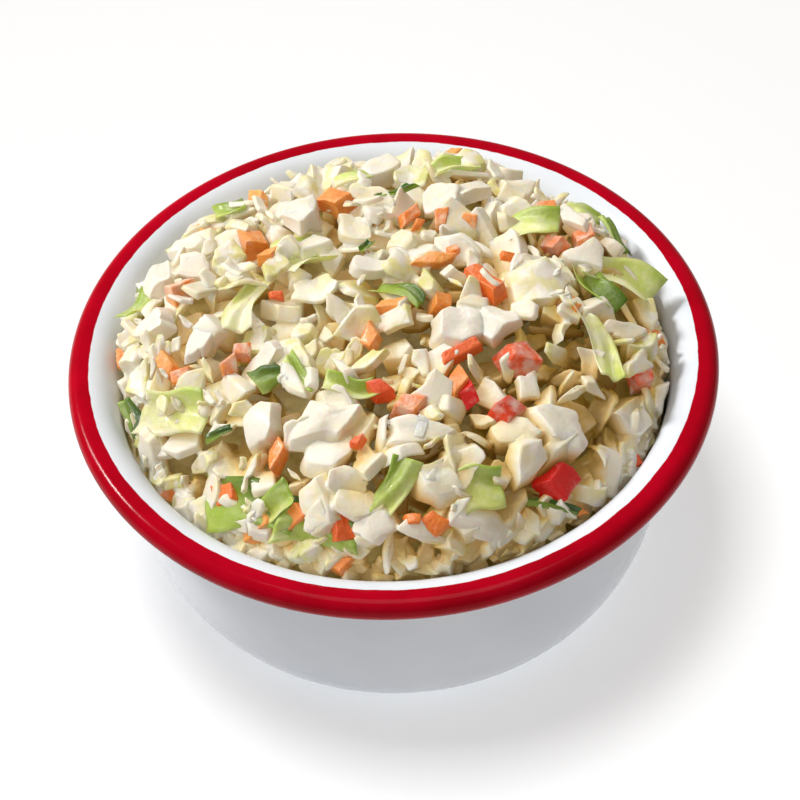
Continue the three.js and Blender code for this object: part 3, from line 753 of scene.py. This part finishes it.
def stand_along_wall(bed, flakes):
    """Chips that stand against the wall, in rows, the upper ones leaning inwards."""
    for count in range(FLANK_PIECES):
        turn = math.radians(count / FLANK_PIECES * 360 + rng.normal(0, 1))
        share = (count % FLANK_ROWS + rng.uniform(0, 1)) / FLANK_ROWS
        out = FLANK_RADIUS - FLANK_SHOULDER * share
        x, y = out * math.cos(turn), out * math.sin(turn)
        shape, faces, along = cut(FLANK_CHIP)
        tip = math.radians(90 - FLANK_LEAN * share + rng.normal(0, FLANK_CHIP["lean"]))
        spin = Matrix.Rotation(rng.uniform(0, ROUND), 3, "Z")
        pose = Matrix.Rotation(turn, 3, "Z") @ Matrix.Rotation(tip, 3, "Y") @ spin
        z = FLANK_LOW_Z + (heap_height(x, y) - FLANK_UNDER - FLANK_LOW_Z) * share
        shape = kept_inside(shape @ np.array(pose).T + (x, y, z))
        bed.lay(shape)
        keep_cabbage(flakes, FLANK_CHIP, shape, faces, along)


def build_pieces(bed, materials):
    """Everything on the core, in the order in which it lies."""
    batches = [Batch() for _ in range(6)]
    ribs, flakes, slivers, scraps, carrots, greens = batches
    for x, y, long, wide, *_ in BIG_CABBAGE + CARROTS:
        bed.room_for(x, y, long, wide, CHIP_ROOM * min(wide, CHIP_ROOM_MOST))
    for x, y, long, wide, *_ in GREENS:
        bed.room_for(x, y, long, wide, LEAF_ROOM)
    lay_ring(bed, ribs)
    scatter(bed, {"rib": ribs, "flake": flakes, "sliver": slivers})
    lay_named(bed, ribs, greens, carrots)
    bed.no_more_room()
    lay_where_needed(bed, ribs, FILLER, FILLERS, FILLED)
    stand_along_wall(bed, flakes)
    lay_where_needed(bed, scraps, SCRAP, SCRAPS, -math.inf)
    x, y, long, wide, turn, dark = STANDING_LEAF
    blade = leaf(long, wide, STANDING["curl"], STANDING["cup"], STANDING["fold"], STANDING_CORNERS)
    keep_leaf(bed, greens, blade, (x, y, turn, STANDING_LEAN, STANDING), dark)

    # Painted shade: each point darkens by how far down between the pieces it lies
    for batch in batches:
        batch.values["deep"] = [bed.depth(np.concatenate(batch.vertices))]
    dressing = build_dressing(bed, (ribs, flakes, slivers), materials["dressing"])
    cabbage = materials["cabbage"]
    return [
        dressing, ribs.build("cabbage_ribs", cabbage), flakes.build("cabbage_flakes", cabbage),
        slivers.build("cabbage_slivers", cabbage), scraps.build("cabbage_scraps", cabbage),
        carrots.build("carrots", materials["carrot"]), greens.build("green_leaves", materials["green"]),
    ]


def lowest_around(grid, passes):
    """The lowest of each cell and its neighbours, some times over."""
    for _ in range(passes):
        grid = np.minimum.reduce([np.roll(grid, s, a) for s in (-1, 0, 1) for a in (0, 1)])
    return grid


def build_underlay():
    """A skin over the core, so that the dressing has no holes."""
    rings, segments, over_core, under_core = 40, 120, 1.5, 8
    radius = np.linspace(0, PIECE_LIMIT + 0.2, rings + 1)[1:]
    turn = np.arange(segments) / segments * ROUND
    x, y = around(radius[:, None], turn).reshape(-1, 2).T
    top = np.column_stack([x, y, core_height(x, y) + over_core])
    middle = (0, 0, core_height(0, 0) + over_core)
    below = (0, 0, core_height(radius[-1], 0) - under_core)
    underlay = Batch()
    underlay.add(np.vstack([middle, top, below]), ring_faces(rings, segments))
    return underlay


def build_dressing(bed, batches, material):
    """Cream that rounds off every crease: all the pieces fused, smoothed and drawn in."""
    lump = Batch()
    for batch in (*batches, build_underlay()):
        for vertices, part in zip(batch.vertices, batch.faces):
            lump.add(vertices, part - part.min())
    fused = lump.build("fusing", material)
    fuse = fused.modifiers.new("fuse", "REMESH")
    fuse.mode = "VOXEL"
    fuse.voxel_size = VOXEL * MM
    smooth = fused.modifiers.new("smooth", "SMOOTH")
    smooth.factor, smooth.iterations = 0.5, SMOOTHED
    skin = fused.evaluated_get(bpy.context.evaluated_depsgraph_get()).to_mesh()
    place, normal = np.zeros((2, len(skin.vertices) * 3))
    skin.vertices.foreach_get("co", place)
    skin.vertices.foreach_get("normal", normal)
    place, normal = place.reshape(-1, 3) / MM, normal.reshape(-1, 3)
    quads = np.zeros(len(skin.loops), int)
    skin.loops.foreach_get("vertex_index", quads)
    quads = quads.reshape(-1, 4)
    bpy.data.objects.remove(fused)
    shown = place[:, 2] > lowest_around(bed.height, 4)[bed.cell(place)] - DRESSING_REACH
    quads = quads[shown[quads].all(axis=1)]
    used, quads = np.unique(quads, return_inverse=True)
    place, normal = place[used], normal[used]
    ways = rng.normal(0, WAVE_SPREAD, (INSET_WAVES, 3))
    phases = rng.uniform(0, PHASE, INSET_WAVES)
    thinness = sum(np.sin(place @ way + phase) for way, phase in zip(ways, phases))
    inset = DRESSING_INSET + FRONT_RIGHT_INSET * front_right_share(place) + INSET_SWING * thinness
    place = place - np.clip(inset, *INSET_LIMITS)[:, None] * normal
    dressing = Batch()
    # the dressing takes the same painted shade between the pieces
    looks = {"lime": DRESSING_LIME, "shade": DRESSING_SHADE, "deep": bed.depth(place)}
    dressing.add(place, quads.reshape(-1, 4), **looks)
    return dressing.build("dressing", material)


# ---- materials
def set_inputs(node, **values):
    for name, value in values.items():
        node.inputs[name.replace("_", " ")].default_value = value


class Nodes:
    """Short names for the nodes of one material."""

    def __init__(self, name):
        self.material = bpy.data.materials.new(name)
        self.material.use_nodes = True
        self.tree = self.material.node_tree
        self.shader = self.tree.nodes["Principled BSDF"]

    def new(self, kind, **settings):
        node = self.tree.nodes.new(kind)
        for key, value in settings.items():
            setattr(node, key, value)
        return node

    def link(self, source, target):
        self.tree.links.new(source, target)

    def feed(self, socket, value):
        """Gives a socket a number or a colour, or links it."""
        if isinstance(value, (int, float)):
            socket.default_value = value
        elif isinstance(value, tuple):
            socket.default_value = (*value, 1)
        else:
            self.link(value, socket)

    def attribute(self, name):
        return self.new("ShaderNodeAttribute", attribute_name=name).outputs["Fac"]

    def noise(self, size, detail=2.0, roughness=0.5):
        """Noise whose blobs are about this many millimetres across, from 0 to 1."""
        place = self.new("ShaderNodeTexCoord").outputs["Object"]
        node = self.new("ShaderNodeTexNoise")
        set_inputs(node, Scale=1 / (size * MM), Detail=detail, Roughness=roughness)
        self.link(place, node.inputs["Vector"])
        return node.outputs["Fac"]

    def math(self, operation, a, b=0.0, clamp=False):
        node = self.new("ShaderNodeMath", operation=operation, use_clamp=clamp)
        for socket, value in zip(node.inputs, (a, b)):
            self.feed(socket, value)
        return node.outputs[0]

    def ramp(self, factor, stops):
        """Colours by factor: (position, colour) pairs."""
        node = self.new("ShaderNodeValToRGB")
        elements = node.color_ramp.elements
        while len(elements) < len(stops):
            elements.new(0.5)
        for element, (position, colour) in zip(elements, stops):
            element.position = position
            element.color = (*colour, 1)
        self.link(factor, node.inputs["Fac"])
        return node.outputs["Color"]

    def blend(self, factor, a, b, blend_type="MIX"):
        node = self.new("ShaderNodeMix", data_type="RGBA", blend_type=blend_type)
        for index, value in ((0, factor), (6, a), (7, b)):
            self.feed(node.inputs[index], value)
        return node.outputs[2]

    def bump(self, height, distance, strength=1.0):
        node = self.new("ShaderNodeBump")
        set_inputs(node, Distance=distance * MM, Strength=strength)
        self.link(height, node.inputs["Height"])
        self.link(node.outputs["Normal"], self.shader.inputs["Normal"])

    def colour(self, source):
        self.link(source, self.shader.inputs["Base Color"])

    def set(self, **values):
        set_inputs(self.shader, **values)

    def wet_flesh(self, roughness, weight, radius, scale, coat, coat_roughness):
        """Light goes a little way in, under a thin wet film."""
        self.set(Roughness=roughness, IOR=WET_IOR, Subsurface_Weight=weight, Subsurface_Radius=radius,
                 Subsurface_Scale=scale * MM, Coat_Weight=coat, Coat_Roughness=coat_roughness)


def srgb(red, green, blue):
    """A colour seen on a screen, 0 to 255, as the renderer's linear one."""
    def linear(value):
        value /= 255
        return value / 12.92 if value <= 0.04045 else ((value + 0.055) / 1.055) ** 2.4
    return (linear(red), linear(green), linear(blue))


CREAM = srgb(245, 239, 227)
WET_IOR = 1.42
# Noise times the first, plus the second, is how thick the cream lies on a carrot or a leaf
CARROT_FILM, LEAF_FILM = (2.4, -1.5), (3, -1.25)
VEIL_AT_MOST = 0.8


def enamel_material():
    nodes = Nodes("enamel")
    wavy = nodes.math("MULTIPLY", nodes.math("SUBTRACT", nodes.noise(4, 3), 0.5), 0.5)
    edge = nodes.math("ADD", nodes.attribute("rim"), wavy)
    red = nodes.math("ADD", nodes.math("MULTIPLY", edge, 9), 0.5, clamp=True)
    white = nodes.ramp(nodes.noise(22, 2), ((0.35, srgb(213, 219, 228)), (0.65, srgb(221, 226, 234))))
    crimson = nodes.ramp(nodes.noise(9, 3), ((0.35, srgb(153, 0, 20)), (0.65, srgb(169, 0, 27))))
    nodes.colour(nodes.blend(red, white, crimson))
    nodes.bump(nodes.noise(5, 2), 0.05)
    nodes.set(Roughness=0.14, IOR=1.5, Specular_IOR_Level=0.08)
    return nodes.material


def cabbage_material(name, film):
    """Cabbage or dressing. `film` is how much cream covers it."""
    nodes = Nodes(name)
    tone = nodes.ramp(nodes.attribute("lime"), (
        (0.0, CREAM), (0.35, srgb(245, 234, 196)), (0.7, srgb(234, 226, 140)), (1.0, srgb(200, 204, 96)),
    ))
    patch = nodes.ramp(nodes.noise(3.2, 3), ((0.4, (0, 0, 0)), (0.62, (1, 1, 1))))
    patchy = nodes.blend(patch, tone, CREAM)
    coated = nodes.blend(film, patchy, CREAM)
    shade = nodes.ramp(nodes.attribute("shade"), ((0, (0.93, 0.92, 0.88)), (1, (1, 1, 1))))
    shaded = nodes.blend(1.0, coated, shade, "MULTIPLY")
    # Painted shade: warm brown, darker far down between the pieces
    deep = nodes.ramp(nodes.attribute("deep"), (
        (0, (1, 1, 1)), (0.3, (0.98, 0.9, 0.66)), (0.6, (0.9, 0.68, 0.32)), (1, (0.48, 0.32, 0.07)),
    ))
    nodes.colour(nodes.blend(1.0, shaded, deep, "MULTIPLY"))
    nodes.bump(nodes.noise(1.1, 4, 0.6), 0.16)
    nodes.wet_flesh(0.38, 0.5, (1.0, 0.62, 0.3), 1.1, coat=0.25, coat_roughness=0.2)
    return nodes.material


def carrot_material():
    nodes = Nodes("carrot")
    tone = nodes.ramp(nodes.attribute("red"), (
        (0.0, srgb(255, 194, 104)), (0.5, srgb(255, 148, 68)), (1.0, srgb(232, 34, 30)),
    ))
    streak = nodes.ramp(nodes.noise(1.0, 3), ((0.35, (0.92, 0.76, 0.62)), (0.65, (1, 1, 1))))
    base_tone = nodes.blend(1.0, tone, streak, "MULTIPLY")
    gain, level = CARROT_FILM
    patch = nodes.math("ADD", nodes.math("MULTIPLY", nodes.noise(2.2, 3), gain), level)
    veil = nodes.math("ADD", patch, nodes.attribute("veil"), clamp=True)
    nodes.colour(nodes.blend(nodes.math("MULTIPLY", veil, VEIL_AT_MOST), base_tone, CREAM))
    nodes.bump(nodes.noise(0.7, 3, 0.65), 0.3)
    nodes.wet_flesh(0.3, 0.45, (1.0, 0.35, 0.1), 1.2, coat=0.4, coat_roughness=0.15)
    return nodes.material


def green_material():
    nodes = Nodes("green_leaf")
    tone = nodes.ramp(nodes.attribute("dark"), (
        (0.0, srgb(240, 240, 190)), (0.3, srgb(222, 232, 136)), (0.6, srgb(164, 186, 66)),
        (1.0, srgb(60, 92, 24)),
    ))
    gain, level = LEAF_FILM
    patch = nodes.math("ADD", nodes.math("MULTIPLY", nodes.noise(2.6, 3), gain), level, clamp=True)
    pale = nodes.math("SUBTRACT", VEIL_AT_MOST, nodes.attribute("dark"), clamp=True)
    nodes.colour(nodes.blend(nodes.math("MULTIPLY", patch, pale), tone, CREAM))
    nodes.bump(nodes.noise(0.9, 4, 0.6), 0.2)
    nodes.wet_flesh(0.28, 0.5, (0.6, 1.0, 0.2), 1.0, coat=0.4, coat_roughness=0.12)
    return nodes.material


def core_material():
    nodes = Nodes("core")
    # Painted shade: olive brown, so the core reads as shadow where it shows deep between the pieces
    base_tone = ((0.3, srgb(150, 126, 44)), (0.7, srgb(204, 184, 106)))
    nodes.colour(nodes.ramp(nodes.noise(5, 4), base_tone))
    nodes.bump(nodes.noise(2, 4), 0.5)
    nodes.set(Roughness=0.4)
    return nodes.material


# ---- stage, lights and camera
LIGHT_DISTANCE = 1  # metres, from the point that they shine at
LIT_POINT = (0, 0, 0.05)
FLOOR_HALF = 3.0  # metres
WORLD_COLOUR, WORLD_STRENGTH = (1, 0.9, 0.77, 1), 0.27
LENS = 76.5
CAMERA_PLACE = (0.9415, -215.405, 278.776)
CAMERA_RIGHT, CAMERA_UP = (0.99874, -0.03774, -0.03306), (0.05017, 0.75125, 0.65807)


def build_stage():
    """A plain pale floor."""
    nodes = Nodes("floor")
    tone = nodes.ramp(nodes.noise(600, 2), ((0.3, (0.92, 0.935, 0.95)), (0.7, (0.93, 0.945, 0.96))))
    nodes.colour(tone)
    nodes.set(Roughness=0.9, Specular_IOR_Level=0.1)
    corners = [(x * FLOOR_HALF, y * FLOOR_HALF, 0) for x, y in SQUARE]
    mesh = bpy.data.meshes.new("floor")
    mesh.from_pydata(corners, [], [(0, 1, 2, 3)])
    mesh.materials.append(nodes.material)
    floor = in_scene("floor", mesh)
    return floor


def area_light(name, azimuth, elevation, size, strength, colour, receivers, shadow=True):
    """A square light that shines at the dish from a direction, in degrees, on some pieces alone.

    At a strength of 1 it makes a white surface that faces it look white.
    """
    lamp = bpy.data.lights.new(name, "AREA")
    lamp.size = size
    lamp.energy = strength * (math.pi * LIGHT_DISTANCE) ** 2
    lamp.color = colour
    lamp.use_shadow = shadow
    holder = in_scene(name, lamp)
    turn, rise = math.radians(azimuth), math.radians(elevation)
    way = Vector((math.cos(turn) * math.cos(rise), math.sin(turn) * math.cos(rise), math.sin(rise)))
    holder.location = Vector(LIT_POINT) + way * LIGHT_DISTANCE
    holder.rotation_mode = "QUATERNION"
    holder.rotation_quaternion = way.to_track_quat("Z", "Y")
    lit = bpy.data.collections.new("lit_by_" + name)
    for piece in receivers:
        lit.objects.link(piece)
    holder.light_linking.receiver_collection = lit


def build_lights(bowl, heap, floor):
    sun, white = (1, 0.985, 0.96), (1, 1, 1)
    area_light("key", 152, 36, 0.16, 0.25, sun, [bowl, *heap])
    area_light("bowl_key", 155, 45, 0.16, 0.9, sun, [bowl])
    area_light("bowl_top", 0, 89, 0.6, 0.3, white, [bowl])
    area_light("left_softbox", 180, 44, 0.8, 0.35, sun, heap)
    area_light("back_softbox", 98, 45, 0.5, 0.3, white, heap)
    area_light("back_fill", 110, 60, 0.6, 0.24, white, heap, shadow=False)
    area_light("front_fill", -160, 30, 0.6, 0.2, white, heap, shadow=False)
    area_light("floor_light", 180, 80, 0.3, 0.5, white, [floor])
    area_light("floor_fill", 0, 89, 0.6, 0.5, white, [floor], shadow=False)
    world = bpy.data.worlds.new("studio")
    world.use_nodes = True
    set_inputs(world.node_tree.nodes["Background"], Color=WORLD_COLOUR, Strength=WORLD_STRENGTH)
    bpy.context.scene.world = world


def build_camera():
    """At the serving view: in front, about 49 degrees up, a little rolled."""
    lens = bpy.data.cameras.new("camera")
    lens.lens = LENS
    lens.clip_start = 0.01
    camera = in_scene("camera", lens)
    right, up = Vector(CAMERA_RIGHT), Vector(CAMERA_UP)
    pose = Matrix((right, up, right.cross(up))).transposed().to_4x4()
    pose.translation = Vector(CAMERA_PLACE) * MM
    camera.matrix_world = pose
    bpy.context.scene.camera = camera


# ---- the scene
build_camera()
floor = build_stage()
materials = {
    "cabbage": cabbage_material("creamy_cabbage", film=0.15),
    "dressing": cabbage_material("dressing", film=0.45),
    "carrot": carrot_material(),
    "green": green_material(),
}

bowl = build_bowl(enamel_material())
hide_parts("bowl")

bed = Bed()
core = build_core(core_material())
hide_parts("coleslaw")
heap = [core, *build_pieces(bed, materials)]
for piece in [bowl, *heap]:
    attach(piece, "root")
build_lights(bowl, heap, floor)

bpy.context.scene.view_settings.view_transform = "Standard"
